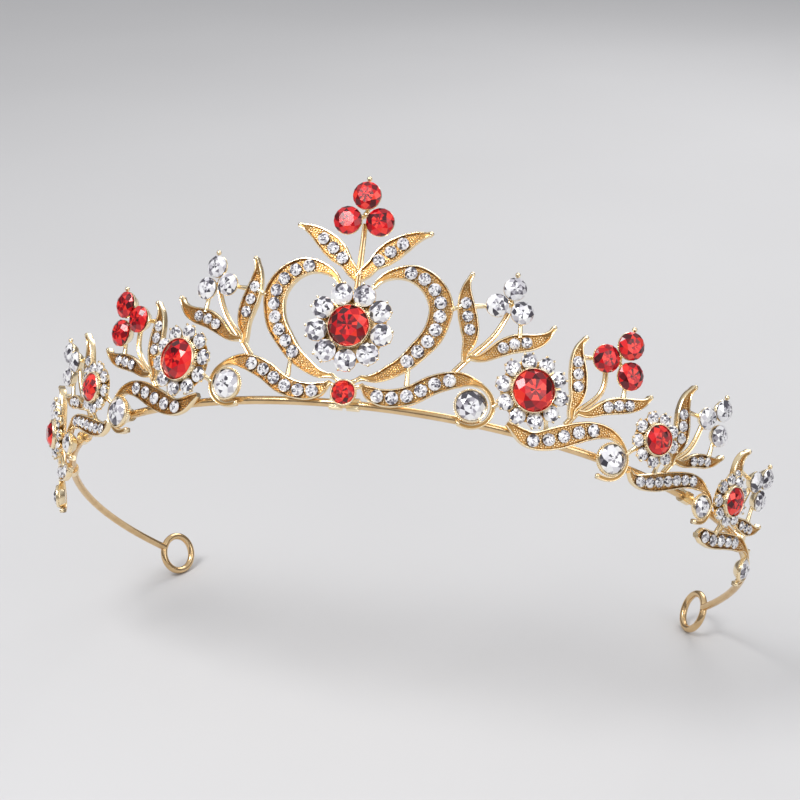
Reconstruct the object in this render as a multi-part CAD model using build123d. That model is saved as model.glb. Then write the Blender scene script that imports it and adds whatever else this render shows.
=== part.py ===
"""Jewelled crown: cast scrolls, flowers and leaves with set stones on a sprung wire band.

Every ornament is laid out on the flared front of the band. A place there is given by two
distances in millimetres: s, along the band from the centre, and t, up the flared face from the
wire. A third, out, stands off the face. The right half is laid out and the left half mirrors it.
"""

from build123d import *
import os
from math import cos, degrees, hypot, pi, radians, sin

# Band: a round wire bent to three arcs, with a ring at each end.
FACE_RADIUS = 75.0
SIDE_FACE_RADIUS = 61.5
BLEND_ANGLE = 45.0
WIRE_SET_BACK = 1.5
WIRE_RADIUS = 0.75
RING_RADIUS = 3.95
RING_ANGLE = 124.6

# Face: how far the ornament leans outward, and how far it droops towards the ends.
FLARE = radians(15.0)
DROOP = 4.5
DROOP_LENGTH = 97.0

# The crown is worn and shown with its front raised, about the centre of the head.
TILT = 46.0

# Castings
BACK = -0.7
RIM = 0.55
FLOOR_DEPTH = 0.5
RIM_WIDTH = 0.3
STEM_RADIUS = 0.55
PEG_RADIUS = 0.4
CUP_WALL = 0.3
BALL_RADIUS = 0.6
SEAT_GAP = 0.04
PAVE_CULET = 0.14
DEEP_CULET = 0.26
# Shares of a stone's diameter: its cup's depth, and a collar cup's foot radius and lower edge
CUP_DEPTH = 0.4
PETAL_CUP_DEPTH = 0.36
COLLAR_FOOT = 0.3
COLLAR_DROP = 0.08

# Stones, by diameter
PAVE = 2.3
FINE_PAVE = 2.0
HEART_RUBY = 7.0
LARGE_RUBY = 7.2
SMALL_RUBY = 5.2
RED_BERRY = 5.1
CLEAR_BERRY = 4.1
DROP_STONE = 4.0
LARGE_HOOK = 5.2
SMALL_HOOK = 4.0
HEART_PETAL = 4.0
LARGE_PETAL = 2.9
SMALL_PETAL = 2.4

# Ribbons are lists of (s, t, width) along their middle line.
HEART_ARM = [
    (2.5, 4.2, 0.6), (5.0, 4.5, 1.7), (7.3, 5.8, 2.5), (9.6, 7.6, 3.0), (11.7, 10.3, 3.5),
    (13.5, 13.2, 3.9), (14.2, 16.2, 4.1), (14.2, 18.4, 4.4), (13.4, 20.4, 4.3),
    (11.7, 22.3, 3.9), (9.2, 23.5, 3.3), (6.4, 23.3, 2.2), (3.9, 21.9, 1.3), (2.8, 20.4, 0.6),
]
SCROLLS = [
    [(2.8, 3.0, 0.6), (4.4, 1.8, 2.5), (6.6, 1.2, 3.1), (9.2, 1.5, 3.3), (11.8, 2.5, 3.5),
     (14.4, 4.4, 3.5), (17.0, 5.8, 3.3), (19.4, 6.6, 2.8), (21.6, 6.7, 1.6), (23.6, 6.1, 0.9),
     (25.1, 4.8, 0.8), (25.8, 3.0, 0.8), (25.5, 1.2, 0.8), (24.3, -0.3, 0.8), (22.3, -1.1, 0.8),
     (20.4, -0.9, 0.7)],
    [(28.7, 1.1, 0.9), (30.2, 0.5, 1.8), (32.0, -0.3, 2.7), (34.1, -0.5, 3.2), (36.5, 0.4, 3.9),
     (38.4, 1.4, 4.1), (40.9, 2.9, 3.9), (43.3, 4.2, 3.4), (45.8, 5.0, 2.7), (48.1, 5.1, 1.7),
     (50.2, 4.2, 1.0), (51.5, 2.8, 0.8), (52.0, 1.0, 0.8), (51.4, -1.0, 0.8), (49.6, -2.4, 0.8),
     (47.2, -2.6, 0.7)],
    [(53.3, 0.4, 0.7), (54.4, -0.4, 1.8), (56.2, -0.4, 2.9), (58.9, 0.6, 3.5), (61.6, 1.9, 3.4),
     (64.4, 3.3, 3.1), (67.0, 4.3, 2.8), (69.3, 4.6, 2.3), (71.6, 4.2, 0.8), (73.4, 2.9, 0.7),
     (73.9, 1.0, 0.7), (73.0, -0.9, 0.7), (71.0, -1.8, 0.7)],
    [(72.9, -3.6, 0.7), (74.3, -3.1, 2.9), (76.8, -2.7, 3.3), (80.4, -1.4, 3.4), (84.3, 0.1, 3.1),
     (87.6, 1.2, 3.0), (90.2, 1.7, 1.6), (92.5, 1.5, 0.9), (94.5, 0.4, 0.8), (95.3, -1.4, 0.8),
     (94.7, -3.3, 0.8), (93.0, -4.5, 0.7)],
]
# One row per scroll: stone diameter, place of the first stone along the ribbon, pitch, count.
SCROLL_PAVE = [
    (PAVE, 3.5, 2.62, 6), (PAVE, 5.5, 2.9, 5), (FINE_PAVE, 2.9, 2.08, 7), (PAVE, 2.5, 2.7, 5),
]
HEART_PAVE = (PAVE, 8.8, 2.46, 9)

UPRIGHT_LEAVES = [
    [(19.4, 11.5, 0.9), (19.7, 13.2, 2.4), (19.5, 15.4, 3.3), (18.8, 17.6, 3.5), (18.2, 19.6, 3.2),
     (17.8, 21.6, 2.3), (17.8, 23.5, 1.3), (18.3, 25.2, 0.4)],
    [(39.4, 6.8, 0.9), (39.7, 8.5, 2.3), (39.6, 10.7, 3.3), (39.0, 13.2, 3.4), (38.4, 15.3, 2.8),
     (38.1, 17.2, 1.8), (38.3, 18.5, 1.1), (38.9, 19.7, 0.4)],
    [(61.1, 6.5, 0.9), (61.5, 8.1, 2.2), (61.7, 9.9, 3.1), (61.3, 12.1, 3.3), (60.6, 14.4, 3.0),
     (60.3, 16.5, 2.2), (60.6, 18.3, 1.3), (61.4, 19.8, 0.4)],
    [(80.7, 5.1, 0.9), (80.2, 6.7, 2.1), (79.1, 9.0, 2.9), (78.2, 11.3, 2.9), (77.9, 13.3, 2.2),
     (78.4, 14.9, 1.4), (79.5, 16.2, 0.4)],
]
SIDE_LEAVES = [
    [(21.9, 11.0, 0.9), (23.8, 12.3, 2.3), (25.5, 13.8, 3.1), (27.4, 15.0, 3.4), (29.5, 15.8, 3.1),
     (31.3, 16.8, 2.4), (32.5, 18.1, 1.4), (33.2, 19.6, 0.4)],
    [(42.3, 7.0, 0.9), (44.1, 8.3, 2.2), (45.8, 9.5, 2.9), (47.6, 10.4, 3.1), (49.6, 11.2, 2.8),
     (51.3, 12.1, 2.1), (52.5, 13.1, 1.3), (53.2, 14.2, 0.4)],
    [(63.7, 6.2, 0.9), (65.3, 7.2, 2.2), (66.8, 8.1, 2.7), (68.6, 8.8, 2.7), (70.3, 9.5, 2.0),
     (71.6, 10.4, 1.2), (72.6, 11.5, 0.4)],
    [(82.6, 3.7, 0.9), (84.1, 3.9, 2.3), (86.2, 4.3, 2.9), (88.6, 4.9, 2.9), (90.8, 5.7, 2.1),
     (92.4, 6.6, 1.3), (93.6, 7.8, 0.4)],
]
# One row per leaf, as for the scrolls. The last upright leaf is mostly behind its flower.
UPRIGHT_PAVE = [(2.0, 4.1, 2.35, 3), (2.0, 4.3, 2.15, 3), (2.0, 3.7, 2.15, 3), (1.8, 6.4, 2.0, 1)]
SIDE_PAVE = [(2.0, 4.5, 2.1, 3), (2.0, 4.3, 2.1, 3), (1.7, 2.8, 1.75, 3), (1.8, 3.2, 1.95, 3)]
CREST_LEAF = [
    (1.1, 22.9, 0.8), (2.2, 24.3, 2.3), (3.7, 25.9, 3.7), (5.1, 27.3, 4.0), (6.8, 28.8, 3.3),
    (8.8, 30.2, 2.0), (10.8, 31.0, 0.5),
]
CREST_PAVE = (2.2, 3.0, 2.45, 3)

CREST_STEM = [(0.0, 20.2), (0.0, 22.9), (0.0, 25.6), (0.0, 28.3), (0.0, 30.9)]
STEMS = [
    [(18.5, 8.3), (20.1, 10.5), (21.7, 12.6), (23.3, 14.9), (24.4, 17.3), (25.1, 19.1)],
    [(39.4, 4.7), (41.0, 7.2), (42.9, 9.6), (44.0, 12.0), (43.9, 14.5)],
    [(60.9, 3.8), (62.2, 6.3), (64.0, 8.5), (65.0, 11.0), (65.3, 13.4)],
    [(79.4, 0.4), (80.7, 3.0), (82.3, 5.4), (83.5, 7.9), (84.2, 10.2)],
]
# Berries in each cluster: the inner, the outer and the top one.
BERRIES = [
    [(23.1, 20.7), (27.3, 20.4), (25.4, 24.2)],
    [(42.8, 17.3), (47.8, 15.9), (46.5, 21.0)],
    [(65.6, 15.8), (69.5, 14.3), (68.6, 18.8)],
    [(84.3, 12.6), (88.0, 10.6), (87.8, 15.0)],
]
BERRY_SIZES = [CLEAR_BERRY, RED_BERRY, CLEAR_BERRY, CLEAR_BERRY]
CREST_BERRIES = [(-2.6, 31.8), (2.6, 31.8), (0.0, 36.4)]
HOOKS = [
    (21.9, 2.4, LARGE_HOOK), (48.5, 0.9, LARGE_HOOK), (71.0, 1.2, SMALL_HOOK),
    (92.4, -1.6, SMALL_HOOK),
]
# Flowers: centre s and t, ruby, petal stone, petal count, petal circle radius, and how far the
# ruby stands proud of the petals.
HEART_FLOWER = (0.0, 12.7, HEART_RUBY, HEART_PETAL, 9, 5.95, 0.5)
FLOWERS = [
    (31.4, 7.5, LARGE_RUBY, LARGE_PETAL, 10, 5.15, 0.95),
    (55.6, 7.3, SMALL_RUBY, SMALL_PETAL, 9, 3.85, 0.8),
    (77.0, 5.3, SMALL_RUBY, SMALL_PETAL, 9, 3.85, 0.8),
]
FLOWER_LIFT = 0.6
FLOWER_PLATE = 0.3
PLATE_EDGE = 0.1
DROP = (0.0, 1.3)
# Pegs from the inner berry to the upright leaf and from the outer berry to the side leaf, each
# from one (s, t, out) place to another.
SPRIG_PEGS = [
    [((21.4, 20.2, -0.4), (20.3, 19.9, -0.4)), ((27.7, 18.6, -0.4), (27.9, 17.4, -0.4))],
    [((40.6, 16.8, -0.4), (39.7, 16.4, -0.4)), ((48.1, 13.7, -0.4), (48.2, 12.9, -0.4))],
    [((63.8, 15.5, -0.4), (62.4, 15.2, -0.4)), ((69.4, 12.5, -0.4), (69.4, 11.1, -0.4))],
    [((82.5, 12.6, -0.4), (79.9, 12.2, -0.4)), ((88.1, 8.8, -0.4), (88.1, 7.0, -0.4))],
]
CLASPS = [1.6, 49.5, 69.0, 91.0]
CLASP_WALL = 0.45
CLASP_LENGTH = 2.2
CLASP_TAB = (1.6, 1.3)
CLASP_GAP = 0.03


def seat(s, t, out=0.0):
    """Plane on the flared face: x runs along the band, y up the face and z outward."""
    blend = radians(BLEND_ANGLE)
    turn, radius, shift = s / FACE_RADIUS, FACE_RADIUS, 0.0
    if turn > blend:
        turn = blend + (s - FACE_RADIUS * blend) / SIDE_FACE_RADIUS
        radius, shift = SIDE_FACE_RADIUS, FACE_RADIUS - SIDE_FACE_RADIUS
    reach = radius + t * sin(FLARE) + out * cos(FLARE)
    height = t * cos(FLARE) - out * sin(FLARE) - DROOP * (s / DROOP_LENGTH) ** 2
    return Plane(
        origin=(
            shift * sin(blend) + reach * sin(turn),
            -shift * cos(blend) - reach * cos(turn),
            height,
        ),
        x_dir=(cos(turn), sin(turn), 0),
        z_dir=(sin(turn) * cos(FLARE), -cos(turn) * cos(FLARE), -sin(FLARE)),
    )


class Route:
    """A smooth line through flat points, read by the distance along it."""

    def __init__(self, points):
        self.edge = Edge.make_spline([Vector(p[0], p[1], 0) for p in points])
        self.length = self.edge.length
        self.marks = [0.0]
        for a, b in zip(points, points[1:]):
            self.marks.append(self.marks[-1] + hypot(b[0] - a[0], b[1] - a[1]))
        self.widths = [p[2] if len(p) > 2 else 2 * STEM_RADIUS for p in points]

    def width(self, distance):
        """Ribbon width at a distance along the line."""
        mark = distance / self.length * self.marks[-1]
        for i in range(len(self.marks) - 1):
            if mark <= self.marks[i + 1] + 1e-9:
                share = (mark - self.marks[i]) / (self.marks[i + 1] - self.marks[i])
                return self.widths[i] + share * (self.widths[i + 1] - self.widths[i])
        return self.widths[-1]

    def section_plane(self, distance, out=0.0):
        """Plane across the line: x to its left on the face and y outward."""
        share = min(max(distance / self.length, 0.0), 1.0)
        place = self.edge.position_at(share)
        heading = self.edge.tangent_at(share)
        face = seat(place.X, place.Y, out)
        along = face.x_dir * heading.X + face.y_dir * heading.Y
        across = face.y_dir * heading.X - face.x_dir * heading.Y
        return Plane(origin=face.origin, x_dir=across, z_dir=along)


def rod(points):
    """A round stem along flat points, at mid thickness of the castings."""
    route = Route(points)
    count = len(points) * 2
    middle = (BACK + RIM) / 2
    marks = [route.length * i / count for i in range(count + 1)]
    path = Edge.make_spline([route.section_plane(mark, middle).origin for mark in marks])
    section = Plane(origin=path @ 0, z_dir=path % 0) * Circle(STEM_RADIUS)
    return sweep(section, path=path)


def loft_along(route, outline, step):
    """Loft an outline, given for each width, along a route."""
    count = max(3, round(route.length / step))
    rings = []
    for i in range(count + 1):
        distance = route.length * i / count
        plane = route.section_plane(distance)
        corners = [plane.from_local_coords(p) for p in outline(route.width(distance))]
        rings.append(Wire.make_polygon(corners, close=True))
    return Solid.make_loft(rings)


def channel(width):
    """Outline of a casting: a flat back and a raised rim on each side of a sunk floor."""
    half = width / 2
    rim = min(RIM_WIDTH, 0.3 * width)
    floor = RIM - FLOOR_DEPTH * min(1.0, max(0.1, (width - 0.8) / 1.2))
    return [
        (half, BACK), (half, RIM), (half - rim, RIM), (half - rim, floor),
        (rim - half, floor), (rim - half, RIM), (-half, RIM), (-half, BACK),
    ]


def lathe(profile):
    """Solid turned from a closed (radius, height) profile."""
    face = make_face(Polyline(*[(r, 0, z) for r, z in profile], close=True))
    return revolve(face, Axis.Z, 360)


def stone(size, culet):
    """A round stone: table, crown, girdle and blunt pavilion, with its girdle at height 0."""
    girdle, table = 0.5 * size, 0.28 * size
    return lathe([
        (0, -culet), (0.12 * size, -culet), (girdle, -0.03 * size), (girdle, 0.02 * size),
        (table, 0.18 * size), (0, 0.18 * size),
    ])


def cup(size, depth):
    """An open cup under a stone: a cone that ends below the girdle, with a conical seat."""
    seat_depth = DEEP_CULET * size + SEAT_GAP
    lip, slope = -0.12 * size, 0.38 / (DEEP_CULET - 0.03)
    seat_lip = 0.12 * size + slope * (lip + seat_depth) + SEAT_GAP
    return lathe([
        (0, -depth), (0.3 * size, -depth), (0.5 * size - 0.02, lip), (seat_lip, lip),
        (0.12 * size + SEAT_GAP, -seat_depth), (0, -seat_depth),
    ])


def collar_cup(size, depth):
    """A cup with a collar that closes round the stone's girdle."""
    seat_depth = DEEP_CULET * size + SEAT_GAP
    inner = 0.5 * size + SEAT_GAP
    return lathe([
        (0, -depth), (COLLAR_FOOT * size, -depth), (inner + CUP_WALL, -COLLAR_DROP * size),
        (inner + CUP_WALL, 0.05 * size), (inner, 0.05 * size), (inner, -0.03 * size - SEAT_GAP),
        (0.12 * size + SEAT_GAP, -seat_depth), (0, -seat_depth),
    ])


def at(plane, shape):
    """A shape moved from the origin to a plane."""
    return plane.location * shape


def peg(start, end):
    """A short round bar between two (s, t, out) places."""
    a, b = seat(*start).origin, seat(*end).origin
    axis = b - a
    bar = Solid.make_cylinder(PEG_RADIUS, axis.length, Plane(origin=a, z_dir=axis))
    return bar


def pave_stones(route, row):
    """A row of stones along a ribbon, resting on its floor."""
    size, first, pitch, count = row
    culet = PAVE_CULET * size
    gem = stone(size, culet)
    girdle_height = RIM - FLOOR_DEPTH + culet + SEAT_GAP
    gems = []
    for i in range(count):
        across = route.section_plane(first + i * pitch, girdle_height)
        gems.append(at(Plane(origin=across.origin, x_dir=across.x_dir, z_dir=across.y_dir), gem))
    return gems


def set_stones(planes, size):
    """Stones of one size in their cups, one at each plane."""
    gem = stone(size, DEEP_CULET * size)
    return [at(plane, gem) for plane in planes]


def ribbon(points, row):
    """A set ribbon: the casting and its stones."""
    route = Route(points)
    return loft_along(route, channel, 1.6), pave_stones(route, row)


def cup_seats(places, size):
    """Planes of the girdles of stones whose cups stand on the castings' back."""
    return [seat(s, t, BACK + CUP_DEPTH * size) for s, t in places]


def cluster(places, size, stem):
    """Three berries in cups, on a stem, with a ball on the top one."""
    planes = cup_seats(places, size)
    pieces = [at(plane, cup(size, CUP_DEPTH * size)) for plane in planes]
    pieces.append(rod(stem))
    s, t = places[-1]
    rise = 0.5 * size + BALL_RADIUS + SEAT_GAP
    pieces.append(at(seat(s, t + rise, BACK + 0.35 * size), Sphere(BALL_RADIUS)))
    return pieces, set_stones(planes, size)


def sprig(k):
    """Stem, berry cups and pegs of one sprig, with its berries."""
    size = BERRY_SIZES[k]
    pieces, berries = cluster(BERRIES[k], size, STEMS[k])
    pieces += [peg(start, end) for start, end in SPRIG_PEGS[k]]
    return pieces, berries


def leaf_pair(k):
    """The upright and the side leaf of one sprig, with their stones."""
    rows = ((UPRIGHT_LEAVES[k], UPRIGHT_PAVE[k]), (SIDE_LEAVES[k], SIDE_PAVE[k]))
    leaves, stones = [], []
    for points, row in rows:
        casting, gems = ribbon(points, row)
        leaves.append(casting)
        stones += gems
    return leaves, stones


def flower(row, phase=0.0):
    """A flower's setting, its ruby and its petal stones."""
    s, t, ruby, petal, count, circle, proud = row
    base = seat(s, t, FLOWER_LIFT).location
    petal_rise = FLOWER_PLATE + PETAL_CUP_DEPTH * petal
    ruby_rise = petal_rise + proud
    body = base * Pos(0, 0, FLOWER_PLATE / 2) * Cylinder(circle + PLATE_EDGE * petal, FLOWER_PLATE)
    planes = []
    for i in range(count):
        turn = phase + 2 * pi * i / count
        spot = base * Pos(circle * cos(turn), circle * sin(turn), petal_rise)
        planes.append(Plane(spot))
        body += spot * cup(petal, PETAL_CUP_DEPTH * petal)
    centre = Plane(base * Pos(0, 0, ruby_rise))
    body += at(centre, collar_cup(ruby, ruby_rise - FLOWER_PLATE))
    return body, set_stones([centre], ruby), set_stones(planes, petal)


def hook_cup(s, t, size):
    """The cup and stone inside a scroll's curl."""
    planes = cup_seats([(s, t)], size)
    return at(planes[0], collar_cup(size, CUP_DEPTH * size)), set_stones(planes, size)


def drop():
    """Cup of the small centre stone, with bars to the scrolls and to the heart's ends."""
    planes = cup_seats([DROP], DROP_STONE)
    pieces = [at(planes[0], collar_cup(DROP_STONE, CUP_DEPTH * DROP_STONE))]
    for side in (-1, 1):
        pieces.append(peg((side * 1.75, 2.3, -0.3), (side * 2.35, 2.75, -0.3)))
        pieces.append(peg((side * 1.05, 3.5, -0.3), (side * 1.75, 4.05, -0.3)))
    return pieces, set_stones(planes, DROP_STONE)


def band_wire():
    """The sprung wire: a front arc, two tighter side arcs and a ring at each end."""
    front = FACE_RADIUS - WIRE_SET_BACK
    side = SIDE_FACE_RADIUS - WIRE_SET_BACK
    shift = front - side
    blend = radians(BLEND_ANGLE)
    end_turn = RING_ANGLE - degrees(RING_RADIUS / side)
    wire = sweep_arc((0, 0), front, -BLEND_ANGLE, BLEND_ANGLE)
    for hand in (-1, 1):
        centre = (hand * shift * sin(blend), -shift * cos(blend))
        wire += sweep_arc(centre, side, hand * BLEND_ANGLE, hand * end_turn)
        turn = radians(RING_ANGLE) * hand
        outward = (sin(turn), -cos(turn), 0)
        middle = (centre[0] + side * sin(turn), centre[1] - side * cos(turn), 0)
        ring = Plane(origin=middle, z_dir=outward)
        wire += at(ring, Torus(RING_RADIUS, WIRE_RADIUS))
    return wire


def sweep_arc(centre, radius, start, end):
    """Round wire along an arc, with angles counted from the front."""
    path = CenterArc((centre[0], centre[1], 0), radius, start - 90, end - start)
    section = Plane(origin=path @ 0, z_dir=path % 0) * Circle(WIRE_RADIUS)
    return sweep(section, path=path)


def clasps():
    """Folded tabs that hold the castings to the wire: a sleeve, open to the front, and a tab."""
    tabs = []
    for s in CLASPS:
        t = (DROOP * (s / DROOP_LENGTH) ** 2 + BACK * sin(FLARE)) / cos(FLARE)
        face = seat(s, t, BACK)
        front = Plane(origin=face.origin, x_dir=face.x_dir, z_dir=face.x_dir.cross(Vector(0, 0, 1)))
        back = WIRE_SET_BACK + BACK * cos(FLARE) + t * sin(FLARE)
        sleeve_at = Plane(origin=face.origin - front.z_dir * back, z_dir=face.x_dir)
        sleeve = at(sleeve_at, Cylinder(WIRE_RADIUS + CLASP_WALL, CLASP_LENGTH))
        tab = at(front, Pos(0, 0, -back / 2) * Box(*CLASP_TAB, back))
        bore = at(sleeve_at, Cylinder(WIRE_RADIUS + CLASP_GAP, 2 * CLASP_LENGTH))
        ahead = at(face, Pos(0, 0, CLASP_LENGTH - CLASP_GAP) * Box(*[2 * CLASP_LENGTH] * 3))
        tabs.append(sleeve + tab - bore - ahead)
    return tabs


def mirrored(shapes):
    """Mirror images of the shapes in the middle plane."""
    return [mirror(shape, about=Plane.YZ) for shape in shapes]


def both(shapes):
    """The shapes and their mirror images."""
    return shapes + mirrored(shapes)


def save(name, shapes):
    """Tilt the shapes to the worn position and write them as one node."""
    solids = [solid for shape in shapes for solid in (Rot(X=-TILT) * shape).solids()]
    export_step(Compound(children=solids), f"parts/{name}.step")


def save_pair(name, shapes):
    """Write the right-hand node and its mirrored left-hand twin."""
    save(f"{name}_right", shapes)
    save(f"{name}_left", mirrored(shapes))


def save_centre():
    """Write the heart, its flower, the crest and the drop."""
    heart_arm, heart_pave = ribbon(HEART_ARM, HEART_PAVE)
    save_pair("heart_arm", [heart_arm])
    save("heart_pave", both(heart_pave))
    body, ruby, petals = flower(HEART_FLOWER, -pi / 2)
    save("heart_flower_setting", [body])
    save("heart_ruby", ruby)
    save("heart_petals", petals)
    crest_stem, crest_berries = cluster(CREST_BERRIES, RED_BERRY, CREST_STEM)
    save("crest_stem", crest_stem)
    save("crest_berries", crest_berries)
    crest_leaf, gems = ribbon(CREST_LEAF, CREST_PAVE)
    save_pair("crest_leaf", [crest_leaf])
    save("crest_pave", both(gems))
    drop_setting, drop_stone = drop()
    save("centre_drop_setting", drop_setting)
    save("centre_drop_stone", drop_stone)


def save_modules():
    """Write the four scroll, sprig and flower modules of each side."""
    scroll_pave, hook_cups, hook_stones = [], [], []
    for k, (points, row) in enumerate(zip(SCROLLS, SCROLL_PAVE)):
        casting, gems = ribbon(points, row)
        save_pair(f"scroll_{k + 1}", [casting])
        scroll_pave += gems
        hook, gems = hook_cup(*HOOKS[k])
        hook_cups.append(hook)
        hook_stones += gems
    save("scroll_pave", both(scroll_pave))
    save("hook_cups", both(hook_cups))
    save("hook_stones", both(hook_stones))

    leaf_pave, berries = [], {RED_BERRY: [], CLEAR_BERRY: []}
    for k, size in enumerate(BERRY_SIZES):
        leaves, gems = leaf_pair(k)
        save_pair(f"leaves_{k + 1}", leaves)
        leaf_pave += gems
        pieces, gems = sprig(k)
        save_pair(f"sprig_{k + 1}", pieces)
        berries[size] += gems
    save("leaf_pave", both(leaf_pave))
    save("red_berries", both(berries[RED_BERRY]))
    save("clear_berries", both(berries[CLEAR_BERRY]))

    rubies, petals = [], []
    for k, row in enumerate(FLOWERS):
        body, ruby, gems = flower(row)
        save_pair(f"flower_{k + 2}_setting", [body])
        rubies += ruby
        petals += gems
    save("flower_rubies", both(rubies))
    save("flower_petals", both(petals))


def main():
    """Write every node."""
    os.makedirs("parts", exist_ok=True)
    save("band_wire", [band_wire()])
    save("wire_clasps", both(clasps()))
    save_centre()
    save_modules()


main()
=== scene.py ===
"""Looks of the jewelled crown: cast gold ribbons, leaves and settings, and faceted stones.

Lengths are in millimetres until a mesh is written, which is in metres. A place on the ornament is
given by s, along the band from the centre, t, up the flared face from the wire, and out, off it.
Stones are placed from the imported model. The right half is laid out, and the left mirrors it.
"""
import random
from math import atan2, cos, hypot, pi, radians, sin

import bmesh
import bpy
import numpy as np
from mathutils import Matrix, Vector


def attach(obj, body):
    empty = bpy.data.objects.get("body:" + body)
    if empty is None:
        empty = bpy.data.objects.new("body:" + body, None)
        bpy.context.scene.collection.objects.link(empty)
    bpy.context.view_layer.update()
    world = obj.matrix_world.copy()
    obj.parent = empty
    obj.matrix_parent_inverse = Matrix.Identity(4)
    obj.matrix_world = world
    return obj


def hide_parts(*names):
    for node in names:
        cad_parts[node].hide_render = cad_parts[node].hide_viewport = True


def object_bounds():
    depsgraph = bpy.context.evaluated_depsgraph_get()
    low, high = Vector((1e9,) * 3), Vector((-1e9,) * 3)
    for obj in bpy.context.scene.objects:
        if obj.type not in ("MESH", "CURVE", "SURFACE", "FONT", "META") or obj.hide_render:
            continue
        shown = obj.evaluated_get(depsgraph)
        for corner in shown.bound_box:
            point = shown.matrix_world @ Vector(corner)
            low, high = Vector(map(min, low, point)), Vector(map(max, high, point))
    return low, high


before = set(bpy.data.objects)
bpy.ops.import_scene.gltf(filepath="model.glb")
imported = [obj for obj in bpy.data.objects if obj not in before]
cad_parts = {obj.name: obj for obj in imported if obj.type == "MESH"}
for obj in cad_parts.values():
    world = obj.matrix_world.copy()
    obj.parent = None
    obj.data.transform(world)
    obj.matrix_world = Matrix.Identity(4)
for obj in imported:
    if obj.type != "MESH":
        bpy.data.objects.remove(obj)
cad_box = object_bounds()
MM = 0.001
dice = random.Random(7)

# Band and face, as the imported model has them.
FACE_RADIUS = 75.0
SIDE_FACE_RADIUS = 61.5
BLEND = radians(45.0)
FLARE = radians(15.0)
DROOP = 4.5
DROOP_LENGTH = 97.0
TILT = radians(46.0)
UP_THE_FACE = Vector((0.0, sin(TILT), cos(TILT)))

# Castings: the first three are heights off the face.
BACK = -0.7
RIM = 0.55
FLOOR = -0.05
RIM_WIDTH = 0.4
TIP_WIDTH = 0.95
LINE_STEP = 0.2
# Grains on a casting's floor, and the larger ones that hold its row of stones
GRAIN = 0.2
GRAIN_PITCH = 0.46
GRAIN_SHIFT = 0.06
GRAIN_LANES = 4
HOLDING_GRAIN = 0.19
# Stems, the bars and hubs that join pieces, and the balls on top of them
STEM_RADIUS = 0.55
STEM_SIDES = 24
GROOVE_DEPTH = 0.42
GROOVE_REACH = 0.55
BAR_RADIUS = 0.42
HUB_RADIUS = 0.75
BALL_RADIUS = 0.6
# A leaf's root leaves its stem this many steps of the stem's line below the leaf.
ROOT_STEPS = 6
LEAF_FOOT = 1.4
CREST_LEAF_FOOT = 2.3
# Settings: the depths are shares of the stone's size.
CUP_DEPTH = 0.4
PETAL_CUP_DEPTH = 0.36
LIP = 0.32
BEAD = 0.15
BEAD_PITCH = 0.42
CLAW_TIP = 0.24
CLAW_SPREAD = 0.5
PLATE = 0.3
# Stones: heights over the girdle's middle are shares of the stone's size.
TABLE_HEIGHT = 0.18
GIRDLE_HEIGHT = 0.02
# How widely the painted light of the stones' facets spreads from dark to bright
SPARKLE = 1.2
# Edges sharper than this many degrees stay sharp.
CAST_CREASE = 38.0
FACET_CREASE = 1.0

# Castings of the right half, each along its middle line as (s, t, width)
HEART_ARM = [
    (2.5, 4.2, 0.6), (5.0, 4.5, 1.7), (7.3, 5.8, 2.5), (9.6, 7.6, 3.0), (11.7, 10.3, 3.5),
    (13.5, 13.2, 3.9), (14.2, 16.2, 4.1), (14.2, 18.4, 4.4), (13.4, 20.4, 4.3),
    (11.7, 22.3, 3.9), (9.2, 23.5, 3.3), (6.4, 23.3, 2.2), (3.9, 21.9, 1.3), (2.8, 20.4, 0.6),
]
SCROLLS = [
    [(2.8, 3.0, 0.6), (4.4, 1.8, 2.5), (6.6, 1.2, 3.1), (9.2, 1.5, 3.3), (11.8, 2.5, 3.5),
     (14.4, 4.4, 3.5), (17.0, 5.8, 3.3), (19.4, 6.6, 2.8), (21.6, 6.7, 1.6), (23.6, 6.1, 0.9),
     (25.1, 4.8, 0.8), (25.8, 3.0, 0.8), (25.5, 1.2, 0.8), (24.3, -0.3, 0.8), (22.3, -1.1, 0.8),
     (20.4, -0.9, 0.7)],
    [(28.7, 1.1, 0.9), (30.2, 0.5, 1.8), (32.0, -0.3, 2.7), (34.1, -0.5, 3.2), (36.5, 0.4, 3.9),
     (38.4, 1.4, 4.1), (40.9, 2.9, 3.9), (43.3, 4.2, 3.4), (45.8, 5.0, 2.7), (48.1, 5.1, 1.7),
     (50.2, 4.2, 1.0), (51.5, 2.8, 0.8), (52.0, 1.0, 0.8), (51.4, -1.0, 0.8), (49.6, -2.4, 0.8),
     (47.2, -2.6, 0.7)],
    [(53.3, 0.4, 0.7), (54.4, -0.4, 1.8), (56.2, -0.4, 2.9), (58.9, 0.6, 3.5), (61.6, 1.9, 3.4),
     (64.4, 3.3, 3.1), (67.0, 4.3, 2.8), (69.3, 4.6, 2.3), (71.6, 4.2, 0.8), (73.4, 2.9, 0.7),
     (73.9, 1.0, 0.7), (73.0, -0.9, 0.7), (71.0, -1.8, 0.7)],
    [(72.9, -3.6, 0.7), (74.3, -3.1, 2.9), (76.8, -2.7, 3.3), (80.4, -1.4, 3.4), (84.3, 0.1, 3.1),
     (87.6, 1.2, 3.0), (90.2, 1.7, 1.6), (92.5, 1.5, 0.9), (94.5, 0.4, 0.8), (95.3, -1.4, 0.8),
     (94.7, -3.3, 0.8), (93.0, -4.5, 0.7)],
]
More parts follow.
